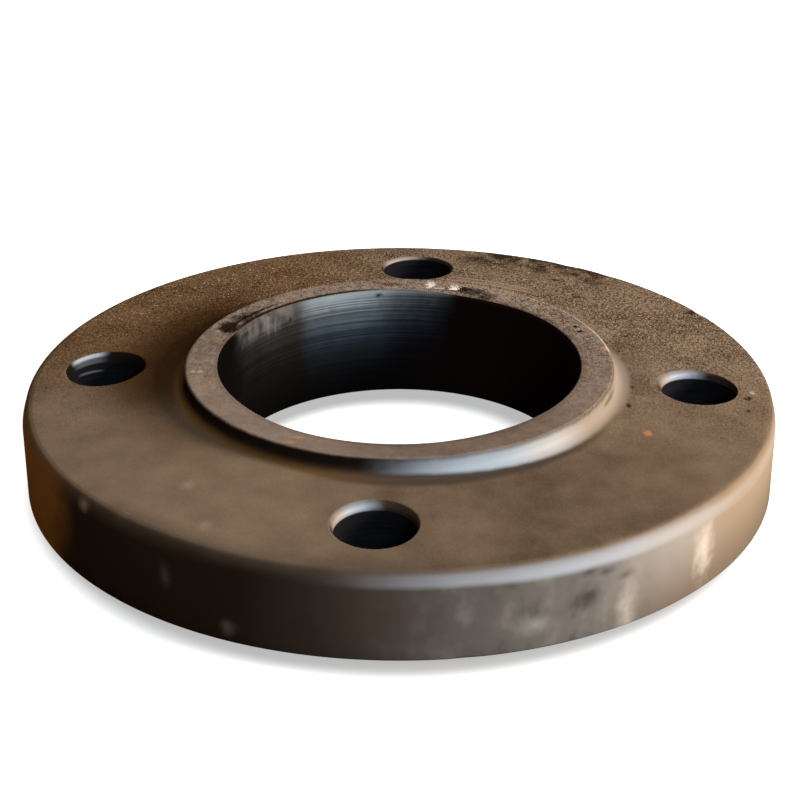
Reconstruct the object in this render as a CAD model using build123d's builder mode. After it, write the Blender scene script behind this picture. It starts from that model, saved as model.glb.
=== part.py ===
from build123d import *
import os
from math import radians, tan

# Slip on pipe flange, forged in one piece and then machined: a ring with four bolt holes, a low hub
# on top that the pipe is welded to, and a raised gasket face underneath.
# The origin is the centre of the bore on the gasket face. Z points to the hub end.

# Bore, made for a pipe of 88.9 mm outside diameter.
bore_radius = 45.35
bore_mouth_chamfer = 0.9
bore_foot_chamfer = 0.4

# Hub. Its height is that above the ring's rim. It is a little wider at its foot, so that the forging
# leaves the die.
hub_wall = 9.05
hub_height = 6.3
hub_spread = 0.45
hub_edge_round = 0.8
hub_root_fillet = 2.8

# Bolt holes, for bolts of 16 mm. Their centres lie a nut's room outside the hub, on a circle of
# 152.4 mm. The chamfer of their mouths is the mean one.
bolt_room = 21.8
bolt_count = 4
bolt_hole_radius = 9.525
bolt_mouth_chamfer = 1.0
bolt_foot_chamfer = 0.5

# Ring. Its rim lies a margin outside the bolts' centres, 190.5 mm across, and its thickness is that at
# the rim. Its upper face rises towards the hub by an angle in degrees, again for the die.
rim_margin = 19.05
ring_thickness = 22.3
face_rise = 3.0
rim_bevel_width = 1.1
rim_bevel_height = 3.8
rim_upper_round = 1.2
rim_lower_round = 4.0
rim_foot_chamfer = 0.5

# Raised gasket face, under the ring. It ends a margin inside the bolts' centres, 127 mm across.
gasket_margin = 12.7
raised_face_height = 1.6
raised_face_edge = 0.3

hub_end_radius = bore_radius + hub_wall
bolt_circle_radius = hub_end_radius + bolt_room
ring_radius = bolt_circle_radius + rim_margin
raised_face_radius = bolt_circle_radius - gasket_margin
ring_top = raised_face_height + ring_thickness
hub_top = ring_top + hub_height
hub_foot_radius = hub_end_radius + hub_spread
rim_edge_radius = ring_radius - rim_bevel_width
hub_foot = ring_top + (rim_edge_radius - hub_foot_radius) * tan(radians(face_rise))
bolt_mouth = ring_top + (rim_edge_radius - bolt_circle_radius) * tan(radians(face_rise))

with BuildPart() as slip_on_flange:
    # Half section from the bore out to the rim, turned about the axis of the pipe.
    with BuildSketch(Plane.XZ) as section:
        with BuildLine():
            Polyline(
                (bore_radius, 0),
                (raised_face_radius, 0),
                (raised_face_radius, raised_face_height),
                (ring_radius, raised_face_height),
                (ring_radius, ring_top - rim_bevel_height),
                (rim_edge_radius, ring_top),
                (hub_foot_radius, hub_foot),
                (hub_end_radius, hub_top),
                (bore_radius, hub_top),
                close=True,
            )
        make_face()

        def corner(radius, height):
            """The corner of the section nearest to a radius and a height."""
            return section.vertices().sort_by_distance((radius, height, 0))[0]

        # The rim's upper edge is turned to a steep bevel, and blasting has rounded both its corners.
        fillet(corner(rim_edge_radius, ring_top), rim_upper_round)
        fillet(corner(ring_radius, ring_top - rim_bevel_height), rim_lower_round)
        chamfer(corner(ring_radius, raised_face_height), rim_foot_chamfer)

        fillet(corner(hub_foot_radius, hub_foot), hub_root_fillet)
        fillet(corner(hub_end_radius, hub_top), hub_edge_round)
        chamfer(corner(raised_face_radius, 0), raised_face_edge)
        chamfer(corner(bore_radius, hub_top), bore_mouth_chamfer)
        chamfer(corner(bore_radius, 0), bore_foot_chamfer)
    revolve(axis=Axis.Z)

    # Four bolt holes through the ring, one on each of the X and Y directions. The countersink runs on
    # up to the height of the hub's foot, so that it clears the sloping face.
    with Locations((0, 0, hub_foot)):
        with PolarLocations(bolt_circle_radius, bolt_count):
            sink_radius = bolt_hole_radius + bolt_mouth_chamfer + hub_foot - bolt_mouth
            CounterSinkHole(bolt_hole_radius, sink_radius, counter_sink_angle=90)
    circles = slip_on_flange.edges().filter_by(GeomType.CIRCLE)
    hole_edges = circles.filter_by(lambda edge: abs(edge.radius - bolt_hole_radius) < 0.01)
    chamfer(hole_edges.group_by(Axis.Z)[0], bolt_foot_chamfer)

slip_on_flange.part.label = "slip_on_flange"
os.makedirs("parts", exist_ok=True)
export_step(slip_on_flange.part, "parts/slip_on_flange.step")
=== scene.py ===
import math

import bmesh
import bpy
import numpy as np
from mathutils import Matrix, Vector


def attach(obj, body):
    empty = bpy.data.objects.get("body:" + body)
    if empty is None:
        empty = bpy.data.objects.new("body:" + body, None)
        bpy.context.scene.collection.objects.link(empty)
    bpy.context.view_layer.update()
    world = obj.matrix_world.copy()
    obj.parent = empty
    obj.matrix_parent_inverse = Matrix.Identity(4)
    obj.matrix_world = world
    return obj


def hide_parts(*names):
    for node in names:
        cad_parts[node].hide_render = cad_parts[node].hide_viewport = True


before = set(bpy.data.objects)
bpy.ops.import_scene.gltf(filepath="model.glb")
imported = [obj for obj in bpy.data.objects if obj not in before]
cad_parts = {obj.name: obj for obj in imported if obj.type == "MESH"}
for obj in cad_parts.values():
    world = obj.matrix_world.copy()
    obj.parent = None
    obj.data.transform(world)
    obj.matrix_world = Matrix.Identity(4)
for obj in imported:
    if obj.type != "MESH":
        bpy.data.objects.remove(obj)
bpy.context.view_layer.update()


# Camera. It stands in front of the flange, a little to the right of the front bolt hole, half a metre
# away and 25 degrees up, and aims a little under the ring's upper face.
AIM = Vector((0.0002, 0, 0.0188))
RING_TOP_CENTRE = Vector((0, 0, 0.0239))
TURN, RISE, AWAY, LENS = math.radians(3.96), math.radians(25.30), 0.50787, 89.41

camera = bpy.data.objects.new("camera", bpy.data.cameras.new("camera"))
back = Vector((math.sin(TURN) * math.cos(RISE), -math.cos(TURN) * math.cos(RISE), math.sin(RISE)))
camera.location = RING_TOP_CENTRE + AWAY * back
camera.rotation_euler = (camera.location - AIM).to_track_quat("Z", "Y").to_euler()
camera.data.lens = LENS
bpy.context.scene.collection.objects.link(camera)
bpy.context.scene.camera = camera


# Hub, bore and gasket face. One turned part of the forging: the bore is bored right through, the hub is
# as forged and blasted, and the raised face underneath has fine grooves for the gasket. All shapes below
# are in millimetres and are brought to metres when the skins are joined. The reaches are the radii at which
# this part of the skin ends on the ring's upper face and on its underside.
BORE, HUB_END, HUB_FOOT, RAISED = 45.35, 54.4, 54.85, 63.5
FOOT, RING_FOOT, RING_TOP, HUB_TOP = 0.0, 1.6, 23.9, 30.2
RIM_EDGE, FACE_SLOPE = 94.15, math.tan(math.radians(3))
HUB_REACH, RAISED_REACH = 58.6, 64.4
BORE_MOUTH_BEVEL, BORE_FOOT_BEVEL, RAISED_BEVEL = 0.9, 0.4, 0.3
HUB_ROUND, HUB_FILLET = 0.8, 2.8
GROOVE_PITCH, GROOVE_DEPTH = 0.8, 0.05
AROUND = 360


def face_height(radius):
    """Height of the ring's upper face, which rises from the rim's edge towards the hub."""
    return RING_TOP + (RIM_EDGE - radius) * FACE_SLOPE


def section_line(corners, steps=4):
    """Half section through corners given as (radius, height, rounding). Each corner becomes an arc that
    touches both its sides at a distance of its rounding over the tangent of half its angle."""
    corners = np.array(corners, float)
    point, rounding = corners[1:-1, :2], corners[1:-1, 2:]
    before, after = corners[:-2, :2] - point, corners[2:, :2] - point
    before /= np.linalg.norm(before, axis=1, keepdims=True)
    after /= np.linalg.norm(after, axis=1, keepdims=True)
    half = np.arccos((before * after).sum(1, keepdims=True)) / 2
    middle = point + (before + after) / (2 * np.cos(half)) * rounding / np.sin(half)
    start = point + before * rounding / np.tan(half) - middle
    end = point + after * rounding / np.tan(half) - middle
    sweep = (math.pi - 2 * half)[:, None]
    share = np.linspace(0, 1, steps + 1)[None, :, None]
    arcs = np.sin((1 - share) * sweep) * start[:, None] + np.sin(share * sweep) * end[:, None]
    arcs = arcs / np.sin(sweep) + middle[:, None]
    return np.concatenate([corners[:1, :2], arcs.reshape(-1, 2), corners[-1:, :2]])


def with_rows(line, longest=2.4, guard=0.25):
    """The line with more points on its long runs: one a guard's width inside each end, so that shading
    stays flat up to a round, and evenly spaced ones between."""
    length = np.concatenate([[0], np.cumsum(np.linalg.norm(np.diff(line, axis=0), axis=1))])
    stops = [length]
    for a, b in zip(length[:-1], length[1:]):
        if b - a > 4 * guard:
            inner = np.linspace(a + guard, b - guard, int((b - a) / longest) + 2)
            stops.append(inner)
    stops = np.unique(np.concatenate(stops))
    return np.stack([np.interp(stops, length, line[:, 0]), np.interp(stops, length, line[:, 1])], 1)


def turned(line):
    """A section line turned about the pipe's axis: radius times cosine and sine of the turn, and height."""
    turn = np.radians(np.arange(AROUND) * 360 / AROUND)
    radius, height = line[:, :1], line[:, 1:]
    return np.stack([radius * np.cos(turn), radius * np.sin(turn), height + 0 * turn], -1)


raised_edge = section_line([
    (RAISED_REACH, RING_FOOT, 0), (RAISED, RING_FOOT, 0.15), (RAISED, RAISED_BEVEL, 0.1),
    (RAISED - RAISED_BEVEL, FOOT, 0.1), (RAISED - 2 * RAISED_BEVEL, FOOT, 0)])
groove_radius = np.arange(RAISED - 0.9, BORE + 1.15, -GROOVE_PITCH / 2)
groove_depth = np.where(np.arange(len(groove_radius)) % 2 == 0, FOOT, FOOT + GROOVE_DEPTH)
gasket_line = np.stack([groove_radius, groove_depth], 1)
bore_line = section_line([
    (BORE + 1.1, FOOT, 0), (BORE + BORE_FOOT_BEVEL, FOOT, 0.12), (BORE, BORE_FOOT_BEVEL, 0.12),
    (BORE, HUB_TOP - BORE_MOUTH_BEVEL, 0.25), (BORE + BORE_MOUTH_BEVEL, HUB_TOP, 0.3),
    (BORE + 2, HUB_TOP, 0)])
hub_line = section_line([
    (BORE + 2.2, HUB_TOP, 0), (HUB_END, HUB_TOP, HUB_ROUND), (HUB_FOOT, face_height(HUB_FOOT), HUB_FILLET),
    (HUB_REACH, face_height(HUB_REACH), 0)], steps=7)
inner_line = np.concatenate([with_rows(raised_edge), gasket_line, with_rows(bore_line), with_rows(hub_line)])
inner_skin = turned(inner_line)


# Ring with its bolt holes. Its upper face is blasted, its underside is turned, and each hole is drilled
# and bevelled. The countersink leans a little in each hole, so its bevel is wide on one side. The skin is
# made of patches: one around each hole, so many degrees wide to each side, and a plain one between two.
BOLT_CIRCLE, BOLT_HOLE, FOOT_BEVEL, COLLAR = 76.2, 9.525, 0.5, 3
WALL_TOP, LEAST_BEVEL = 21.0, 0.15
RIM_REACH, RIM_FOOT_REACH = 92.4, 94.3
MOUTHS = {
    # turn of the hole: bevel, its lean, and the turn it leans towards
    0: (0.65, 0.2, 125),
    90: (0.9, 0.2, 150),
    180: (0.7, 1.5, 108),
    270: (0.6, 0.3, 145),
}
PATCH, ROWS = 15, 18
# Rows from a hole's mouth to the patch's outline, closer together at both ends.
SHARES = [0.01, 0.03, 0.07, 0.13, 0.2, 0.3, 0.4, 0.5, 0.6, 0.7, 0.8, 0.88, 0.94, 0.98, 1.0]
SHARES = np.array(SHARES)[:, None, None]


def direction(turn):
    """Cosine and sine of a turn about the pipe's axis."""
    return np.array([math.cos(math.radians(turn)), math.sin(math.radians(turn))])


def patch_outline(turn, inner, outer):
    """Outline of the patch of the ring's face around a bolt hole, from one of its outer corners: the outer
    arc, a straight side, the inner arc back, and the other straight side."""
    arc = np.radians(turn + np.arange(-PATCH, PATCH + 1))
    side = np.linspace(outer, inner, ROWS + 1)
    edges = [(outer, arc[:-1]), (side[:-1], arc[-1]), (inner, arc[:0:-1]), (side[:0:-1], arc[0])]
    return np.concatenate([np.stack([radius * np.cos(a), radius * np.sin(a)], 1) for radius, a in edges])


def bent(before, corner, after):
    """Rows along a corner rounded as a parabola from a point before it to one after it."""
    share = np.linspace(0, 1, 6)[:, None, None]
    return (1 - share) ** 2 * before + 2 * share * (1 - share) * corner + share ** 2 * after


def on_face(flat):
    """Places on the ring's upper face, given by x and y."""
    return np.concatenate([flat, face_height(np.linalg.norm(flat, axis=-1, keepdims=True))], -1)


def drilled_patch(turn, bevel, lean, lean_turn):
    """Skin of a patch: from its outline on the underside in to the hole's lower mouth, up the hole's wall
    and its bevel, and out again over the upper face. The bevel's width is the mean one and the lean times
    the cosine of the angle to the lean's turn, and a cone of 45 degrees reaches further where the face is
    higher. Rows between hole and outline are weighted means of both."""
    centre = BOLT_CIRCLE * direction(turn)
    upper = patch_outline(turn, HUB_REACH, RIM_REACH)
    lower = patch_outline(turn, RAISED_REACH, RIM_FOOT_REACH)
    out = upper - centre
    out /= np.linalg.norm(out, axis=1, keepdims=True)

    def around(radius, height):
        """Places around the hole at a radius from its axis and at a height."""
        height = np.broadcast_to(height, (len(out), 1))
        return np.concatenate([centre + radius * out, height], 1)

    cut = bevel + lean * (out @ direction(lean_turn))[:, None]
    high = on_face(centre + (BOLT_HOLE + cut) * out)[:, 2:]
    width = np.maximum(cut + high - face_height(BOLT_CIRCLE), LEAST_BEVEL)
    top = on_face(centre + (BOLT_HOLE + width) * out)
    base = around(BOLT_HOLE, top[:, 2:] - width)
    soft = np.minimum(0.5, 0.6 * width)
    beyond = on_face(centre + (BOLT_HOLE + width + soft) * out)
    wall = with_rows(section_line([
        (BOLT_HOLE + 0.8, RING_FOOT, 0), (BOLT_HOLE + FOOT_BEVEL, RING_FOOT, 0.12),
        (BOLT_HOLE, RING_FOOT + FOOT_BEVEL, 0.12), (BOLT_HOLE, WALL_TOP, 0)], steps=3), 3.0, 0.2)
    rings = [around(radius, height)[None] for radius, height in wall]
    rings.append(bent(base - (0, 0, 0.4), base, 0.65 * base + 0.35 * top))
    rings.append(bent(0.4 * base + 0.6 * top, top, beyond))
    under = (1 - SHARES) * rings[0][0, :, :2] + SHARES * lower
    under = np.concatenate([under, np.full((*under.shape[:2], 1), RING_FOOT)], -1)
    over = on_face((1 - SHARES) * beyond[:, :2] + SHARES * upper)
    return np.concatenate([under[::-1], *rings, over])


def plain_patch(turn, from_radius, to_radius):
    """Skin between the patches of two neighbouring holes, its middle at a turn: of the upper face where it
    runs outwards, and of the underside where it runs inwards."""
    arc = np.radians(turn + np.arange(PATCH - 45, 46 - PATCH))
    radius = np.linspace(from_radius, to_radius, ROWS + 1)[:, None]
    height = face_height(radius) if to_radius > from_radius else RING_FOOT
    return np.stack([radius * np.cos(arc), radius * np.sin(arc), height + 0 * radius * arc], -1)


drilled_skins = [drilled_patch(turn, *mouth) for turn, mouth in MOUTHS.items()]
plain_skins = [
    plain_patch(turn + 45, *reach)
    for turn in MOUTHS for reach in ((HUB_REACH, RIM_REACH), (RIM_FOOT_REACH, RAISED_REACH))]


# Rim. Turned smooth, with a steep bevel along its upper edge whose corners the blasting has rounded, and a
# small bevel below.
RIM, RIM_BEVEL, RIM_FOOT_BEVEL = 95.25, 3.8, 0.5
UPPER_ROUND, LOWER_ROUND, FOOT_ROUND = 1.2, 4.0, 0.2
rim_line = with_rows(section_line([
    (RIM_REACH, face_height(RIM_REACH), 0), (RIM_EDGE, RING_TOP, UPPER_ROUND),
    (RIM, RING_TOP - RIM_BEVEL, LOWER_ROUND), (RIM, RING_FOOT + RIM_FOOT_BEVEL, FOOT_ROUND),
    (RIM - RIM_FOOT_BEVEL, RING_FOOT, FOOT_ROUND), (RIM_FOOT_REACH, RING_FOOT, 0)], steps=6), 2.0, 0.25)
rim_skin = turned(rim_line)


# Knocks and wear. Handling has dented the forging here and there: small dents on the hub's end and on the
# rim's upper edge, most of them behind on the right. The lip of the bore is worn unevenly.
KNOCKS = [
    # place x, y, z; reach along x, y, z; depth; all in millimetres
    ((-45.5, 17.9, HUB_TOP), (4.2, 2.4, 3.0), 0.35),
    ((46.2, 21.3, HUB_TOP), (1.4, 1.0, 2.0), 0.25),
    ((7.9, 50.1, HUB_TOP), (2.6, 0.9, 2.0), 0.20),
    ((41.8, 82.5, RING_TOP), (3.5, 1.8, 2.0), 0.22),
    ((53.3, 75.4, RING_TOP), (2.2, 1.6, 2.0), 0.18),
    ((77.6, 50.4, RING_TOP), (1.8, 1.4, 2.0), 0.35),
    ((87.9, -4.3, 24.2), (1.2, 0.9, 2.0), 0.25),
    ((-57.0, -75.0, 23.2), (2.5, 2.0, 2.0), 0.25),
    ((21.0, -93.0, 2.2), (3.0, 2.0, 1.5), 0.30),
]
LIP_WEAR = [
    # turn, reach in degrees, depth in millimetres
    (-95, 28, 1.3),
    (68, 15, 1.1),
    (112, 22, -0.6),
    (-165, 22, -0.6),
]
PRESSED_ABOVE, PUSHED_BEYOND, LIP_REACH = 15, 60, 6


def knocked(points):
    """Points moved by knocks and wear. Each knock presses the metal down, and at the rim also inwards, by its
    depth times a bell curve of the distance from its place over its reach. The wear moves the lip's upper
    edge outwards by bell curves of the turn, and the metal around it by less."""
    moved = points.copy()
    radius = np.linalg.norm(points[:, :2], axis=1)
    outwards = np.zeros(len(points))
    for place, reach, depth in KNOCKS:
        bell = depth * np.exp(-(((points - place) / reach) ** 2).sum(1))
        moved[:, 2] -= np.where(points[:, 2] > PRESSED_ABOVE, bell, 0)
        outwards -= np.where(radius > PUSHED_BEYOND, 0.7 * bell, 0)
    turn = np.degrees(np.arctan2(points[:, 1], points[:, 0]))
    lip = np.clip((points[:, 2] - HUB_TOP) / BORE_MOUTH_BEVEL + 1, 0, 1)
    lip *= np.clip(1 - np.abs(radius - BORE - BORE_MOUTH_BEVEL) / LIP_REACH, 0, 1)
    for middle, reach, depth in LIP_WEAR:
        outwards += depth * lip * np.exp(-(((turn - middle + 180) % 360 - 180) / reach) ** 2)
    moved[:, :2] *= (1 + outwards / radius)[:, None]
    return moved


# Forging. All skins joined into one closed piece of forged steel, in metres, with the knocks pressed in.
# Each face gets one of five finishes, and neighbouring ones share the blasted skin, so that no seam shows.
places, faces, start = [], [], 0
for grids, closed in (([inner_skin, rim_skin, *drilled_skins], True), (plain_skins, False)):
    for grid in grids:
        number = start + np.arange(grid.shape[0] * grid.shape[1]).reshape(grid.shape[:2])
        start += number.size
        if closed:
            number = np.concatenate([number, number[:, :1]], 1)
        corners = (number[:-1, :-1], number[1:, :-1], number[1:, 1:], number[:-1, 1:])
        faces.append(np.stack(corners, -1).reshape(-1, 4))
        places.append(grid.reshape(-1, 3))
places, faces = np.concatenate(places), np.concatenate(faces)
middle = places[faces].mean(1)
across, height = np.linalg.norm(middle[:, :2], axis=1), middle[:, 2]

mesh = bpy.data.meshes.new("flange")
mesh.from_pydata(knocked(places) / 1000, [], faces)
flange = bpy.data.objects.new("flange", mesh)
bpy.context.scene.collection.objects.link(flange)

BLASTED, BORED, DRILLED, RIMMED, FACED = range(5)
from_holes = [middle[:, :2] - BOLT_CIRCLE * direction(turn) for turn in MOUTHS]
to_hole = np.min(np.linalg.norm(from_holes, axis=2), axis=0)
finish = np.full(len(faces), BLASTED)
finish[to_hole < BOLT_HOLE + COLLAR] = DRILLED
finish[across > RIM_REACH] = RIMMED
finish[height < RING_FOOT + 0.01] = FACED
finish[(across < BORE + 0.3) | (across < BORE + 2.1) & (height > RING_TOP)] = BORED
mesh.polygons.foreach_set("material_index", finish.astype(np.int32))
mesh.polygons.foreach_set("use_smooth", np.ones(len(faces), bool))

shell = bmesh.new()
shell.from_mesh(mesh)
bmesh.ops.remove_doubles(shell, verts=shell.verts, dist=2e-6)
shell.to_mesh(mesh)
shell.free()
mesh.update()


# Blasted skin. After forging, the whole piece was blasted with grit, which left a brown grey grain on its
# scale. It is paler on the hub's end, and oil, soot and knocks have marked it since; shade is painted on it
# beside the hub, along its edges and in dents. The classes with which all finishes are written stand here,
# because this is the first one.
GRAIN = (0.045, 0.027, 0.015), (0.297, 0.215, 0.149)
RED_GRAIN = (0.045, 0.018, 0.005), (0.272, 0.168, 0.092)
HUB_GRAIN = (0.075, 0.050, 0.035), (0.338, 0.262, 0.210)
BRIGHT_SPECK, DARK_SPECK = (0.58, 0.45, 0.32), (0.03, 0.015, 0.008)
# The first colour below is soot, and also shade painted into a notch and into dents.
SOOT_AND_DENT_SHADE, PIT = (0.012, 0.007, 0.004), (0.012, 0.008, 0.006)
OIL, BURR = (0.024, 0.012, 0.006), (0.024, 0.014, 0.009)
CREAM, CHALK, WHITE_CHIP = (0.50, 0.40, 0.28), (0.80, 0.72, 0.60), (0.90, 0.85, 0.75)
RUST, RED_FLECK = (0.42, 0.28, 0.17), (0.50, 0.18, 0.09)
SCUFF, SCRATCH = (0.36, 0.28, 0.21), (0.40, 0.30, 0.22)


class Amount:
    """A number, colour or place that changes over a surface. Arithmetic on a number adds Math nodes."""

    def __init__(self, finish, socket):
        self.finish, self.socket = finish, socket

    def __add__(self, other):
        return self.finish.maths("ADD", self, other)

    def __sub__(self, other):
        return self.finish.maths("SUBTRACT", self, other)

    def __rsub__(self, other):
        return self.finish.maths("SUBTRACT", other, self)

    def __mul__(self, other):
        return self.finish.maths("MULTIPLY", self, other)

    def __truediv__(self, other):
        return self.finish.maths("DIVIDE", self, other)

    def __rtruediv__(self, other):
        return self.finish.maths("DIVIDE", other, self)

    def __pow__(self, other):
        return self.finish.maths("POWER", self, other)

    def __rpow__(self, other):
        return self.finish.maths("POWER", other, self)

    def __gt__(self, other):
        return self.finish.maths("GREATER_THAN", self, other)

    def __lt__(self, other):
        return self.finish.maths("LESS_THAN", self, other)

    def __abs__(self):
        return self.finish.maths("ABSOLUTE", self)

    __radd__, __rmul__ = __add__, __mul__


class Shades:
    """The nodes of a material or of the world, added one after another."""

    def __init__(self, owner):
        owner.use_nodes = True
        self.tree = owner.node_tree
        self.tree.nodes.clear()

    def node(self, kind, settings, *inputs, out=0, **named):
        """Adds a node of a kind: its settings first, then the values or links of its inputs."""
        made = self.tree.nodes.new(kind)
        for name, value in settings.items():
            setattr(made, name, value)
        for key, value in [*enumerate(inputs), *named.items()]:
            socket = made.inputs[key.replace("_", " ") if isinstance(key, str) else key]
            if isinstance(value, Amount):
                self.tree.links.new(value.socket, socket)
            elif value is not None:
                socket.default_value = value
        return made if out is None else Amount(self, made.outputs[out])

    def maths(self, operation, *inputs):
        """A sum or other operation on numbers."""
        return self.node("ShaderNodeMath", {"operation": operation}, *inputs)

    def vector(self, operation, *inputs, out="Vector", **named):
        """An operation on places or other vectors."""
        return self.node("ShaderNodeVectorMath", {"operation": operation}, *inputs, out=out, **named)

    def smooth(self, value, low, high):
        """0 below low, 1 above high and a soft step between; downwards where low is above high."""
        if low > high:
            return 1 - self.smooth(value, high, low)
        step = {"interpolation_type": "SMOOTHSTEP"}
        return self.node("ShaderNodeMapRange", step, value, low, high, 0.0, 1.0)

    def mix(self, share, low, high):
        """Mixes two colours by a share. The node's colours are its inputs 6 and 7 and its output 2."""
        low, high = ((*c, 1.0) if isinstance(c, tuple) else c for c in (low, high))
        return self.node("ShaderNodeMix", {"data_type": "RGBA"}, share, *[None] * 5, low, high, out=2)

    def mix_number(self, share, low, high):
        """Mixes two numbers by a share."""
        return self.node("ShaderNodeMix", {"data_type": "FLOAT"}, share, None, low, high)

    def seen(self):
        """1 for rays that end in the camera, also by way of a mirror or glass, and 0 for light on things."""
        path = self.node("ShaderNodeLightPath", {}, out=None)
        rays = ("Is Camera Ray", "Is Glossy Ray", "Is Transmission Ray")
        camera, mirror, glass = (Amount(self, path.outputs[name]) for name in rays)
        return self.maths("MINIMUM", camera + mirror + glass, 1.0)


class Finish(Shades):
    """A material with measures of the place: its x, y, z and distance from the axis in millimetres."""

    def __init__(self, name):
        self.material = bpy.data.materials.new(name)
        super().__init__(self.material)
        place = self.node("ShaderNodeTexCoord", {}, out="Object")
        self.mm = self.vector("SCALE", place, Scale=1000.0)
        split = self.node("ShaderNodeSeparateXYZ", {}, self.mm, out=None)
        self.x, self.y, self.z = (Amount(self, socket) for socket in split.outputs)
        self.across = (self.x * self.x + self.y * self.y) ** 0.5
        self.torn = self.noise(1.6, 3.0, rough=0.65, seed=17)

    def noise(self, per_mm, detail=2.0, stretch=(1, 1, 1), rough=0.5, seed=0.0):
        """Noise of 0 to 1 with so many features to the millimetre, times a stretch along x, y and z."""
        place = self.vector("MULTIPLY_ADD", self.mm, stretch, (seed, seed * 1.7, seed * 0.6))
        return self.node(
            "ShaderNodeTexNoise", {}, Vector=place, Scale=per_mm, Detail=detail, Roughness=rough, out="Fac")

    def towards(self, turn):
        """Cosine of the angle from a turn about the axis: 1 there, 0 a quarter away, -1 opposite."""
        c, s = direction(turn)
        return (self.x * float(c) + self.y * float(s)) / self.across

    def on_side(self, turn, reach, core=0.0, stray=None):
        """1 within a core of so many degrees from a turn about the axis, falling to 0 at a reach of so many.
        A stray moves this limit by so much of the cosine."""
        low, high = (math.cos(math.radians(angle)) for angle in (reach, core))
        cosine = self.towards(turn)
        return self.smooth(cosine if stray is None else cosine + stray, low, high)

    def near(self, amount, value, reach):
        """1 where an amount has a value, falling to 0 at a reach from it."""
        return self.smooth(abs(amount - value), reach, reach * 0.25)

    def marked(self, colour, ragged, core, marks, torn=None):
        """A colour with marks over it, given as place, reach, share and colour. A mark is 1 times its share
        in its core and falls to 0 at its reach along x, y and z, with an edge that a noise makes ragged."""
        edge = ((torn or self.torn) - 0.5) * ragged
        for place, reach, share, tint in marks:
            away = self.vector("DIVIDE", self.vector("SUBTRACT", self.mm, place), reach)
            spot = self.smooth(self.vector("LENGTH", away, out="Value") + edge, 1.0, core)
            colour = self.mix(spot * share, colour, tint)
        return colour

    def steel(self, colour, roughness, metallic, relief, depth, specular=0.0):
        """Steel of a colour and roughness, with a relief of 0 to 1 that is so many millimetres deep."""
        normal = self.node(
            "ShaderNodeBump", {}, Strength=1.0, Distance=depth / 1000, Height=relief, out="Normal")
        shader = self.node(
            "ShaderNodeBsdfPrincipled", {}, Base_Color=colour, Roughness=roughness, Metallic=metallic,
            Specular_IOR_Level=specular, Normal=normal, out="BSDF")
        self.node("ShaderNodeOutputMaterial", {}, shader, out=None)
        return self.material


def lying(*spots):
    """Marks on the hub's end or on the ring's upper face, given as x, y, reach along both, share and colour.
    Their height is that of the face on which they lie."""
    marks = []
    for x, y, wide, deep, share, colour in spots:
        radius = math.hypot(x, y)
        height = HUB_TOP if radius < (HUB_FOOT + HUB_REACH) / 2 else face_height(radius)
        marks.append(((x, y, height), (wide, deep, 2.0), share, colour))
    return marks


def grained(f):
    """Grain of the blasted skin: coarse behind, redder there on the left, fine and even in front, and paler
    on the hub's end. Gives its colour, its relief, its coarser noise, and how far a place is behind."""
    grain = f.noise(1.7, 2.0, stretch=(1, 0.6, 1), rough=0.65)
    fine = f.noise(3.2, 1.0, stretch=(1, 0.6, 1), seed=5)
    blotch = f.noise(0.11, 3.0, seed=9)
    cloud = f.noise(0.035, 2.0, seed=2)
    patch = f.noise(0.4, 3.0, rough=0.6, seed=41)
    behind = f.smooth(f.y, -50.0, 60.0)
    red = f.on_side(143, 53.1, 21.6)
    rough = behind * (1 - 0.35 * red)
    tone = 0.47 + (grain - 0.5) * (0.19 + 2.8 * rough) + (fine - 0.5) * (0.10 + 2.2 * rough)
    tone = tone + (blotch - 0.5) * (0.50 + 0.25 * behind) + (cloud - 0.5) * 0.35
    tone = tone + f.on_side(-135, 45.6) * 0.15 - f.on_side(-62, 41.4) * 0.17
    tone = tone + f.on_side(75, 36.9, 14.1) * 0.08
    ring = f.mix(red, f.mix(tone, *GRAIN), f.mix(tone, *RED_GRAIN))
    hub_tone = tone + f.smooth(f.y, 0.0, 50.0) * 0.09 + (patch - 0.5) * (0.35 + 1.1 * behind)
    colour = f.mix(f.smooth(f.z, HUB_TOP - 0.6, HUB_TOP - 0.1), ring, f.mix(hub_tone, *HUB_GRAIN))
    bright = f.smooth(f.noise(2.0, 1.0, stretch=(1, 0.6, 1), seed=13), 0.62, 0.74)
    colour = f.mix(bright * f.smooth(f.y, -10.0, 50.0) * 0.85, colour, BRIGHT_SPECK)
    dark = f.smooth(f.noise(1.0, 1.0, seed=21), 0.33, 0.25) * behind
    colour = f.mix(dark * 0.6, colour, DARK_SPECK)
    return colour, (grain * 0.7 + fine * 0.3) * (0.4 + 0.6 * behind), grain


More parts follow.
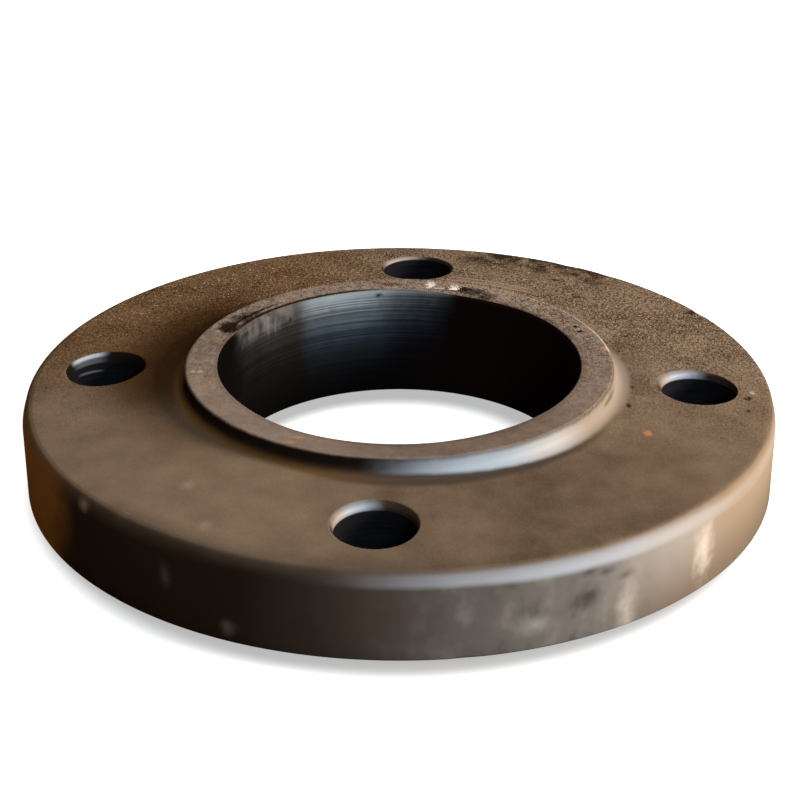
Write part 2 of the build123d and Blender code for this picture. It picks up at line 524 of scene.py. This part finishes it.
def grit(f):
    """The blasted skin, which the finishes share where they meet. It is darker and browner beside the hub,
    where the hub's shadow is painted, with shade also painted along the ring's edge in front on the left. It
    is oily behind on the right and grooved beside the bore, and on the hub's end shade is painted into a
    notch and a dent. Gives its colour and its relief."""
    colour, relief, grain = grained(f)
    foot = f.smooth(f.z, 28.5, 26.5)
    # Painted shadow of the hub on the ring: darker brown beside it in front on the left, and darker still
    # behind on the left.
    beside = f.smooth(f.across, 78.0, 60.0) * f.on_side(-165, 43.9, 18.2) * foot
    colour = f.mix(beside * 0.5, colour, (0.085, 0.040, 0.012))
    shade = f.smooth(f.across, 84.0, 64.0) * f.on_side(168, 41.4, 19.9) * foot
    colour = f.mix(shade * 0.80, colour, (0.052, 0.021, 0.006))
    # Painted shade along the ring's outer edge in front on the left, where the face rounds over to the rim.
    edge = f.smooth(f.across, 87.0, 94.0) * f.on_side(-105, 41.4, 14.1)
    colour = f.mix(edge * 0.4, colour, (0.050, 0.040, 0.033))
    oil = f.smooth(f.noise(0.18, 4.0, rough=0.7, seed=31) + (grain - 0.5) * 0.4, 0.43, 0.58)
    oil = oil * f.smooth(f.across, 77.0, 88.0) * f.on_side(67, 19.9, 8.1)
    colour = f.mix(oil * 0.9, colour, OIL)
    burr = f.noise(0.5, 2.0, seed=33) - 0.5
    groove = f.near(f.across + burr * 0.6, BORE + 1.45, 1.0) * f.on_side(132, 36.9, 21.6)
    groove = groove + f.near(f.across + burr * 1.5, BORE + 3.65, 0.7) * f.on_side(150, 16.3, 9.9)
    on_hub = f.smooth(f.z, HUB_TOP - 0.6, HUB_TOP - 0.1)
    colour = f.mix(f.maths("MINIMUM", groove, 1.0) * on_hub, colour, BURR)
    # Painted shade in a notch on the hub's end behind on the left and in a dent behind on the right, broken
    # up by a noise.
    shade_break = f.smooth(f.torn, 0.30, 0.62)
    colour = f.marked(colour, 1.2, 0.55, lying(
        (-46.2, 17.4, 3.6, 4.8, 0.95, SOOT_AND_DENT_SHADE),
        (-43.6, 23.4, 3.6, 3.4, 1 - 0.4 * shade_break, SOOT_AND_DENT_SHADE),
        (-41.4, 26.2, 3.4, 2.6, 1 - 0.6 * shade_break, SOOT_AND_DENT_SHADE),
        (13.0, 47.5, 4.8, 2.2, 0.95, SOOT_AND_DENT_SHADE),
        (17.2, 45.9, 4.6, 2.6, 1 - 0.3 * shade_break, SOOT_AND_DENT_SHADE),
        (21.2, 43.0, 3.2, 2.4, 1 - 0.5 * shade_break, SOOT_AND_DENT_SHADE),
    ))
    return colour, relief


def hub_side(f, colour, waver):
    """The hub's side over a colour, measured downwards from its upper edge. It has no grit, and light and
    shade
    are painted on it: black shade on the left with an amber glow painted at the far left, a brown glow
    painted at its toe on the left and a dark reflection painted at its toe in front, a highlight painted in
    front and on the right, bluish in front and tan on the right, and a highlight painted along its upper edge
    behind on the right. Gives the colour, and where the side and its painted highlight are."""
    down = f.across - f.z - (HUB_END - HUB_TOP) + waver * 0.6
    front = f.on_side(-65, 53.1)
    # Painted shade and light on the side: black on the left with an amber glow at the far left, a brown glow
    # at the toe on the left, and a dark reflection at the toe in front.
    toe = f.mix(front, (0.165, 0.085, 0.028), (0.064, 0.048, 0.040))
    shaded_side = f.mix(f.on_side(178, 18.2, 5.7), (0.014, 0.009, 0.006), (0.12, 0.055, 0.022))
    shaded_side = f.mix(f.smooth(down, 2.5, 7.0), shaded_side, toe)
    side = f.smooth(down, -0.5, 0.7) * f.smooth(down - front * 2.8, 8.4, 5.6)
    colour = f.mix(side, colour, shaded_side)
    # Painted highlight in front and on the right: bluish in front, grey, then tan on the right.
    painted_light = f.mix(f.on_side(0, 63.3, 43.9), (0.28, 0.335, 0.40), (0.35, 0.345, 0.34))
    painted_light = f.mix(f.on_side(0, 45.6, 28.4), painted_light, (0.262, 0.212, 0.166))
    torn_edge = f.on_side(0, 53.1, 25.8) * (f.torn - 0.5) * 1.5
    longer = f.on_side(0, 84.3, 31.8) * 2.9 + f.on_side(0, 23.1) * 0.9
    hub_highlight = f.on_side(-30, 66.4, 38.7, waver * 0.06)
    hub_highlight = hub_highlight * f.smooth(down + torn_edge, -0.6, 1.8) * f.smooth(down - longer, 5.7, 3.6)
    colour = f.mix(hub_highlight, colour, painted_light)
    colour = f.marked(colour, 0.9, 0.3, [
        ((53.6, -15.0, 27.7), (3.4, 10.5, 0.9), 0.8, (0.11, 0.078, 0.052)),
        ((54.0, -11.5, 28.9), (3.0, 8.0, 0.4), 0.7, (0.12, 0.085, 0.058)),
        ((53.0, 10.8, 29.9), (1.8, 2.8, 1.2), 0.95, (0.50, 0.28, 0.20)),
    ])
    # Painted highlight along the side's upper edge behind on the right.
    edge = f.smooth(down, -0.9, 0.0) * f.smooth(down, 1.4, 0.5) * f.on_side(42, 36.9, 23.1)
    return f.mix(edge, colour, (0.60, 0.48, 0.38)), side, hub_highlight


def blasted():
    """The ring's upper face, the hub's end and the hub's side. Beside the hub the ring is darker on the right
    and paler behind on the right, and scratched in arcs behind. Chips, pits and soot lie on the hub's end and
    here and there, with shade painted into dents."""
    f = Finish("blasted_steel")
    colour, relief = grit(f)
    waver = f.noise(0.25, 2.0, seed=3) - 0.5
    on_ring = f.smooth(f.z, 27.0, 26.0)
    darker_patch = f.smooth(f.across, 68.0, 61.0) * f.on_side(8, 19.9, 5.7) * on_ring
    colour = f.mix(darker_patch * 0.4, colour, (0.085, 0.060, 0.043))
    pale = f.smooth(f.across, 65.5, 60.5) * f.on_side(50, 28.4, 11.5) * on_ring
    colour = f.mix(pale * 0.3, colour, (0.300, 0.230, 0.170))
    for radius, share in ((66.4, 0.8), (67.6, 0.5), (69.0, 0.9)):
        arc = f.near(f.across + waver * 0.3, radius, 0.45) * f.on_side(72, 15.2, 5.7)
        colour = f.mix(arc * share, colour, SCRATCH)
    colour = f.marked(colour, 0.8, -0.3, lying(
        (-37.8, -77.8, 2.6, 3.4, 0.50, SCUFF),
        (-44.4, -60.6, 2.6, 3.4, 0.50, SCUFF),
        (-51.0, -0.7, 2.6, 4.5, 0.50, (0.10, 0.08, 0.065)),
        (-50.3, -22.0, 5.0, 7.0, 0.35, (0.26, 0.22, 0.185)),
        (-6.6, 49.8, 5.4, 1.9, 0.90, SOOT_AND_DENT_SHADE),
    ))
    colour = f.marked(colour, 1.8, 0.35, lying(
        (46.1, 21.2, 1.3, 1.2, 1.00, PIT),
        (44.9, 23.9, 1.0, 1.2, 0.95, PIT),
        (-22.2, -47.7, 1.8, 1.0, 0.50, RUST),
        (-20.6, -45.2, 2.0, 1.0, 0.50, RUST),
        (62.0, -27.6, 1.6, 1.9, 0.80, RED_FLECK),
        (88.0, -4.1, 1.5, 1.7, 0.85, PIT),
        (89.4, -0.9, 0.9, 1.3, 0.70, (0.45, 0.41, 0.36)),
        (86.4, -5.0, 0.9, 1.2, 0.80, (0.50, 0.46, 0.40)),
        (87.4, -11.5, 0.8, 1.2, 0.70, PIT),
        (58.9, -2.9, 0.8, 1.5, 0.80, PIT),
        (57.9, -13.5, 0.9, 1.5, 0.85, PIT),
        (58.4, 29.3, 0.8, 1.0, 0.70, PIT),
        (77.1, 49.9, 2.4, 1.6, 0.90, SOOT_AND_DENT_SHADE),
        (40.1, 69.5, 2.2, 1.0, 0.85, SOOT_AND_DENT_SHADE),
        (45.9, 56.5, 2.4, 1.1, 0.75, SOOT_AND_DENT_SHADE),
        (-51.1, -10.7, 0.9, 1.3, 0.60, CREAM),
        (-49.4, -10.6, 1.0, 1.3, 0.65, CREAM),
        (-48.7, 14.7, 0.7, 0.9, 0.70, CREAM),
        (-46.2, 7.1, 0.9, 1.3, 0.60, CREAM),
        (-45.8, 10.4, 1.1, 1.6, 0.60, CREAM),
    ))
    colour = f.marked(colour, 4.0, 0.6, lying(
        (5.2, 50.0, 1.3, 2.4, 1.0, CHALK),
        (8.0, 47.1, 1.5, 1.2, 0.6, CHALK),
        (11.7, 47.3, 1.7, 2.7, 1.0, WHITE_CHIP),
    ))
    colour, side, hub_highlight = hub_side(f, colour, waver)
    return f.steel(colour, 0.6 - side * 0.08, hub_highlight * 0.04, relief * (1 - 0.85 * side), 0.10)


# Bore's wall. Bored to size for the pipe, dark, with fine lines left by the boring tool. A sheen of light
# from above is painted on it behind on the left, with grey smears beside that. Its lip is blasted like the
# hub's end.
BORE_DARK = (0.0028, 0.0024, 0.0022), (0.0090, 0.0045, 0.0035)
BORE_GREY, BORE_PIT = (0.052, 0.050, 0.049), (0.006, 0.005, 0.005)
BORE_SMEAR, BORE_STREAK = (0.175, 0.165, 0.158), (0.17, 0.17, 0.17)
BORE_SHEEN = (0.100, 0.127, 0.146), (0.058, 0.105, 0.165)
BORE_PEAK = (0.21, 0.26, 0.295), (0.13, 0.215, 0.31)


def bored():
    """The wall is nearly black, and a sheen painted on it fades downwards by a power of the height. The
    painted sheen is pale at the mouth and bluer below, and brightest at its peak."""
    f = Finish("bored_steel")
    skin, relief = grit(f)
    lines = f.noise(1.0, 2.0, stretch=(0.012, 0.012, 2.5), rough=0.7)
    blot = f.noise(0.13, 3.0, seed=7)
    fade = 1.22 ** (f.z - 29.0)
    deep = f.smooth(f.z, 28.0, 17.0)
    # Painted sheen: broad behind on the left, with a peak and a grey part at its left end, crossed by the
    # tool's lines.
    broad = f.on_side(121, 47.9, 18.2, (blot - 0.5) * 0.14) * (0.55 + 0.9 * blot)
    peak = f.smooth(f.towards(111) + (blot - 0.5) * 0.05, 0.93, 1.015)
    sheen = f.mix(f.on_side(150, 38.7, 14.1), f.mix(deep, *BORE_SHEEN), BORE_GREY)
    sheen = f.mix(peak, sheen, f.mix(deep, *BORE_PEAK))
    dark = f.mix(f.smooth(f.x, -20.0, 30.0), *BORE_DARK)
    colour = f.mix(fade * broad * (0.72 + 0.8 * f.smooth(lines, 0.40, 0.60)), dark, sheen)
    smear = f.smooth(f.noise(0.3, 4.0, stretch=(1, 1, 0.45), rough=0.65, seed=19), 0.38, 0.66)
    smear = smear * f.on_side(147, 17.3, 8.1) * f.smooth(f.z, 23.0, 29.0)
    colour = f.mix(smear * 0.55, colour, BORE_SMEAR)
    colour = f.marked(colour, 1.2, -0.2, [
        ((-8.7, 44.5, 29.0), (1.7, 1.7, 1.0), 1.0, BORE_PIT),
        ((-37.0, 26.2, 26.5), (0.8, 1.2, 4.0), 0.5, BORE_STREAK),
        ((-35.4, 28.3, 26.5), (0.7, 0.9, 4.0), 0.5, BORE_STREAK),
        ((-31.8, 32.3, 26.2), (1.1, 1.1, 1.6), 0.9, BORE_PIT),
        ((-21.2, 40.1, 25.9), (2.5, 1.5, 2.1), 0.5, (0.040, 0.045, 0.052)),
    ])
    inside = f.smooth(f.across, BORE + 0.95, BORE + 0.65)
    colour = f.mix(inside, f.mix(0.15, skin, (0.03, 0.018, 0.01)), colour)
    return f.steel(colour, 0.6 - 0.15 * inside, 0.0, f.mix_number(inside, relief, lines * 0.5), 0.08)


# Bolt holes. Drilled, with dark walls and fine lines, and countersunk. Behind on the left a highlight is
# painted on the bevels, and elsewhere shade is painted on them, black on the left hole. A collar of blasted
# skin lies around each hole.
HOLE_WALL = (0.003, 0.003, 0.004), (0.014, 0.014, 0.018)
BEVEL_SHADE = (0.050, 0.034, 0.024), (0.006, 0.005, 0.004)
BEVEL_HIGHLIGHT, LEFT_BEVEL_HIGHLIGHT, BACK_BEVEL_HIGHLIGHT = (0.30, 0.35, 0.42), (0.34, 0.39, 0.46), (0.36, 0.315, 0.295)
HIGHLIGHT_TURN, FRONT_HIGHLIGHT_TURN = 126, 137


def drilled():
    """Each place is measured across from the axis of its hole and down from the ring's upper face. The
    highlight painted on the bevel is brightest towards a turn about that axis, and fades with 1 less the
    cosine of the angle from it."""
    f = Finish("drilled_steel")
    skin, relief = grit(f)
    at_right, at_back = f.x > BOLT_CIRCLE / 2, f.y > BOLT_CIRCLE / 2
    at_left, at_front = f.x < -BOLT_CIRCLE / 2, f.y < -BOLT_CIRCLE / 2
    x = f.x - (at_right - at_left) * BOLT_CIRCLE
    y = f.y - (at_back - at_front) * BOLT_CIRCLE
    from_axis = (x * x + y * y) ** 0.5
    below = face_height(0) - f.across * FACE_SLOPE - f.z
    lines = f.noise(1.0, 2.0, stretch=(0.1, 0.1, 2.0))
    cloud = f.noise(0.4, 2.0, seed=6)
    reached = [x * float(c) + y * float(s) for c, s in map(direction, (HIGHLIGHT_TURN, FRONT_HIGHLIGHT_TURN))]
    reached = f.mix_number(at_front, *reached)
    aside = (1 - reached / from_axis) * (1 + at_left * 1.9)
    # Painted highlight on the bevels: bluish, turning tan at the left side of the right and front holes, and
    # cream on the back hole; where it fades, painted shade.
    bevel_highlight = f.smooth(1 - aside + (cloud - 0.5) * 0.2, 0.52, 1.0)
    fading = 1 - 0.5 * f.smooth(below, 1.1, 0.1), 1 - 0.85 * f.smooth(below, 0.4, 1.1)
    bevel_highlight = bevel_highlight * f.mix_number(at_left, *fading)
    shine = f.mix(f.smooth(x / from_axis + at_left * 0.25, -0.5, -0.95), BEVEL_HIGHLIGHT, (0.33, 0.275, 0.235))
    shine = f.mix(at_back, f.mix(at_left, shine, LEFT_BEVEL_HIGHLIGHT), BACK_BEVEL_HIGHLIGHT)
    bevel = f.mix(bevel_highlight, f.mix(at_left * 0.9 + cloud * 0.1, *BEVEL_SHADE), shine)
    scored = f.near(f.z, 20.4, 0.5) * at_left * f.smooth(reached, 8.6, 9.5)
    wall = f.mix(scored * 0.8, f.mix(lines, *HOLE_WALL), (0.10, 0.12, 0.15))
    colour = f.mix(f.smooth(below - (1 - at_back * 0.5) * 2.05, 0.25, -0.35), wall, bevel)
    cut = f.smooth(below, 0.0, 0.20)
    return f.steel(
        f.mix(cut, skin, colour), 0.6 - 0.15 * cut, 0.06 * cut * bevel_highlight, relief * (1 - 0.8 * cut), 0.08)


# Rim's finish. Turned smooth. Light and shade are painted round it: black shade on the left with an amber
# glow at the far left, a mottled grey light in front and a tan sheen on the right, with soft pale and dark
# patches.
# A glint is painted along the bevel of its upper edge.
# Most of the rim's colours are painted light and shade: black shade, an amber glow, grey light, a sheen and
# tan.
RIM_SHADE, RIM_AMBER, RIM_BROWN = (0.014, 0.008, 0.005), (0.135, 0.054, 0.012), (0.046, 0.034, 0.026)
RIM_GREY, RIM_PALE, RIM_BLOTCH = (0.112, 0.104, 0.097), (0.26, 0.24, 0.22), (0.045, 0.038, 0.032)
RIM_LIT_SHEEN, RIM_TAN, RIM_LOW = (0.268, 0.238, 0.212), (0.242, 0.182, 0.125), (0.118, 0.089, 0.064)
SPOT = (0.045, 0.036, 0.030)


def rim_side(f, cloud):
    """The turned side of the rim, with light and shade painted on it: black shade on the left with an amber
    glow at the far left, brown and a mottled grey light in front, and a tan sheen on the right, darker
    towards its foot."""
    mottle = f.noise(0.17, 2.0, stretch=(1, 1, 0.7), seed=12)
    # Painted light and shade round the rim, by the turn: black on the left, amber at the far left, brown in
    # front, grey light in front on the right, and a tan sheen on the right, darker towards the foot.
    painted_light = f.on_side(-20, 73.7, 38.7, cloud * 0.15)
    colour = f.mix(f.on_side(180, 43.1, 29.5, cloud * 0.15), RIM_SHADE, RIM_AMBER)
    colour = f.mix(f.on_side(-20, 90, 66.4, cloud * 0.15), colour, RIM_BROWN)
    colour = f.mix(painted_light, colour, RIM_GREY)
    colour = f.mix(f.smooth(mottle, 0.50, 0.75) * painted_light * 0.35, colour, RIM_PALE)
    colour = f.mix(f.smooth(mottle, 0.48, 0.25) * painted_light * 0.6, colour, RIM_BLOTCH)
    lit_sheen = f.mix(f.on_side(-10, 36.9, 21.6), RIM_LIT_SHEEN, RIM_TAN)
    lit_sheen = f.mix(f.smooth(f.z, 21.0, -1.0), lit_sheen, RIM_LOW)
    colour = f.mix(f.on_side(-10, 51.7, 30.7, cloud * 0.1), colour, lit_sheen)
    return f.marked(colour, 0.9, -0.2, torn=f.noise(0.35, 3.0, seed=27), marks=[
        ((47.2, -82.7, 12.0), (5.4, 3.8, 4.8), 0.90, (0.032, 0.026, 0.021)),
        ((47.4, -82.6, 18.8), (3.4, 2.6, 1.8), 0.70, SPOT),
        ((51.0, -80.5, 17.6), (4.0, 3.0, 1.8), 0.80, SPOT),
        ((55.6, -77.4, 15.2), (4.0, 3.0, 2.0), 0.70, SPOT),
        ((56.2, -76.9, 6.0), (4.8, 3.7, 12.0), 0.80, (0.33, 0.30, 0.275)),
        ((35.8, -88.3, 8.1), (7.6, 4.0, 3.6), 0.75, (0.24, 0.23, 0.215)),
        ((74.0, -60.0, 13.0), (4.8, 5.8, 12.0), 0.85, (0.48, 0.42, 0.37)),
        ((-67.8, -66.9, 22.4), (3.2, 3.2, 2.8), 0.80, (0.24, 0.16, 0.10)),
        ((-46.3, -83.3, 14.4), (2.4, 1.8, 5.5), 0.35, (0.10, 0.075, 0.055)),
        ((-31.6, -89.9, 5.4), (3.4, 2.0, 3.0), 0.45, (0.13, 0.10, 0.08)),
    ])


def rimmed():
    """The rim's side, the glint painted along its bevel, and the blasted skin above, which is darker along
    its edge on both sides, where shade is painted."""
    f = Finish("rim_steel")
    skin, relief = grit(f)
    cloud = f.noise(0.07, 3.0, seed=8) - 0.5
    colour = rim_side(f, cloud)
    # Painted glint along the bevel: bluish in front on the right, grey and then tan on the right, and faint
    # and brown on the left.
    up = f.z + f.on_side(-10, 36.9, 14.1) * 1.8 + cloud * 0.6
    band = f.smooth(up + f.on_side(-57, 21.6) * 0.8, 19.3, 21.2) * f.smooth(up, 24.0, 22.4)
    shine = f.on_side(-20, 81.4, 38.7, cloud * 0.1)
    glint = f.mix(f.on_side(-60, 42.3, 25.8), (0.10, 0.065, 0.045), (0.268, 0.294, 0.330))
    glint = f.mix(f.on_side(0, 62.6, 42.3), glint, (0.30, 0.28, 0.264))
    glint = f.mix(f.on_side(0, 45.6, 25.8), glint, (0.258, 0.208, 0.162))
    colour = f.mix(band * (0.02 + 0.98 * shine), colour, glint)
    turned_part = f.smooth(f.across + cloud * 0.4, 93.0, RIM) * (1 - shine)
    turned_part = turned_part + f.smooth(f.across + cloud * 0.4, 93.8, 95.0) * shine
    skin = f.marked(skin, 1.8, 0.35, [
        ((77.9, 50.9, 23.8), (1.6, 1.4, 2.0), 0.9, (0.025, 0.016, 0.009)),
        ((80.2, 48.9, 23.7), (1.4, 2.2, 1.4), 0.9, (0.48, 0.36, 0.25)),
    ])
    # Painted shade along the skin's outer edge, on the right and on the left, a little to the front.
    edge_shade = f.smooth(f.across, 93.0, 94.4) * f.on_side(-5, 38.7, 19.9) * 0.45
    edge_shade = edge_shade + f.smooth(f.across, 91.0, 94.4) * f.on_side(-158, 60, 18.2) * 0.62
    colour = f.mix(turned_part, f.mix(edge_shade, skin, (0.045, 0.026, 0.014)), colour)
    return f.steel(
        colour, 0.6 - 0.12 * turned_part, 0.04 * shine * band * turned_part,
        relief * (1 - 0.85 * turned_part), 0.08)


# Underside and gasket face. Faced in the lathe: grey steel with fine rings left by the tool.
FACED_STEEL = (0.16, 0.145, 0.13), (0.42, 0.39, 0.36)


def faced():
    """A noise of the distance from the axis draws the rings, and clouds vary their tone."""
    f = Finish("faced_steel")
    rings = f.node(
        "ShaderNodeTexNoise", {"noise_dimensions": "1D"}, W=f.across, Scale=2.4, Detail=3.0, out="Fac")
    cloud = f.noise(0.05, 3.0, seed=11)
    colour = f.mix(cloud * 0.6 + rings * 0.4, *FACED_STEEL)
    return f.steel(colour, 0.36 + 0.15 * cloud, 0.8, rings, 0.02, specular=0.4)


for made in (blasted(), bored(), drilled(), rimmed(), faced()):
    mesh.materials.append(made)
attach(flange, "root")
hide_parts("slip_on_flange")


# Table. A white sheet lit from within, so that it stays white around the flange. Near the flange a shadow is
# painted on it: less light comes through and the sheet is darker there, over the shadow that it receives.
TABLE_REACH = 6
SHADOW_OUTSIDE, SHADOW_INSIDE = (100.0, 89.8), (36.9, 46.2)
SHADOW_MIDDLE, SHADOW_WIDTH, SHADOW_DEPTH = -5.0, 1.04, 0.53

floor_mesh = bpy.data.meshes.new("floor")
square = [(-1, -1), (1, -1), (1, 1), (-1, 1)]
floor_mesh.from_pydata([(TABLE_REACH * x, TABLE_REACH * y, 0) for x, y in square], [], [(0, 1, 2, 3)])
floor = bpy.data.objects.new("floor", floor_mesh)
bpy.context.scene.collection.objects.link(floor)

f = Finish("white_table")
away = f.y - SHADOW_MIDDLE
near = (f.x * f.x * SHADOW_WIDTH + away * away) ** 0.5
# Painted shadow: a band round the flange's foot, outside it and inside the bore.
under = f.smooth(near, *SHADOW_OUTSIDE) * f.smooth(near, *SHADOW_INSIDE)
glow = f.mix((1.0 - under * SHADOW_DEPTH) * f.seen(), (0, 0, 0), (1, 1, 1))
glow = f.node("ShaderNodeEmission", {}, glow, 1.0)
paper = f.node("ShaderNodeBsdfDiffuse", {}, f.mix(under, (0.85, 0.85, 0.85), (0.07, 0.07, 0.07)))
f.node("ShaderNodeOutputMaterial", {}, f.node("ShaderNodeAddShader", {}, paper, glow), out=None)
floor_mesh.materials.append(f.material)


# Lamps and daylight. A cool lamp stands in front on the right, a warm low one on the right, and a weak amber
# one low on the left. Each is a square sheet that aims at the middle of the flange.
LAMP_AIM, DAYLIGHT = Vector((0, 0, 0.02)), (0.12, 0.114, 0.106)

for name, place, size, power, colour in (
    ("lamp_front", (0.47, -0.83, 0.72), 0.36, 7.0, (0.80, 0.90, 1.0)),
    ("lamp_right", (1.12, -0.18, 0.48), 0.38, 27.0, (1.0, 0.87, 0.74)),
    ("lamp_left", (-0.60, 0.05, 0.10), 0.25, 0.4, (1.0, 0.60, 0.25)),
):
    light = bpy.data.lights.new(name, "AREA")
    light.shape, light.size, light.energy, light.color = "SQUARE", size, power, colour
    lamp = bpy.data.objects.new(name, light)
    lamp.location = place
    lamp.rotation_euler = (Vector(place) - LAMP_AIM).to_track_quat("Z", "Y").to_euler()
    bpy.context.scene.collection.objects.link(lamp)

world = bpy.data.worlds.new("daylight")
sky = Shades(world)
daylight = sky.node("ShaderNodeBackground", {}, sky.mix(sky.seen(), DAYLIGHT, (1, 1, 1)), 1.0)
sky.node("ShaderNodeOutputWorld", {}, daylight, out=None)
bpy.context.scene.world = world
bpy.context.scene.view_settings.view_transform = "Standard"
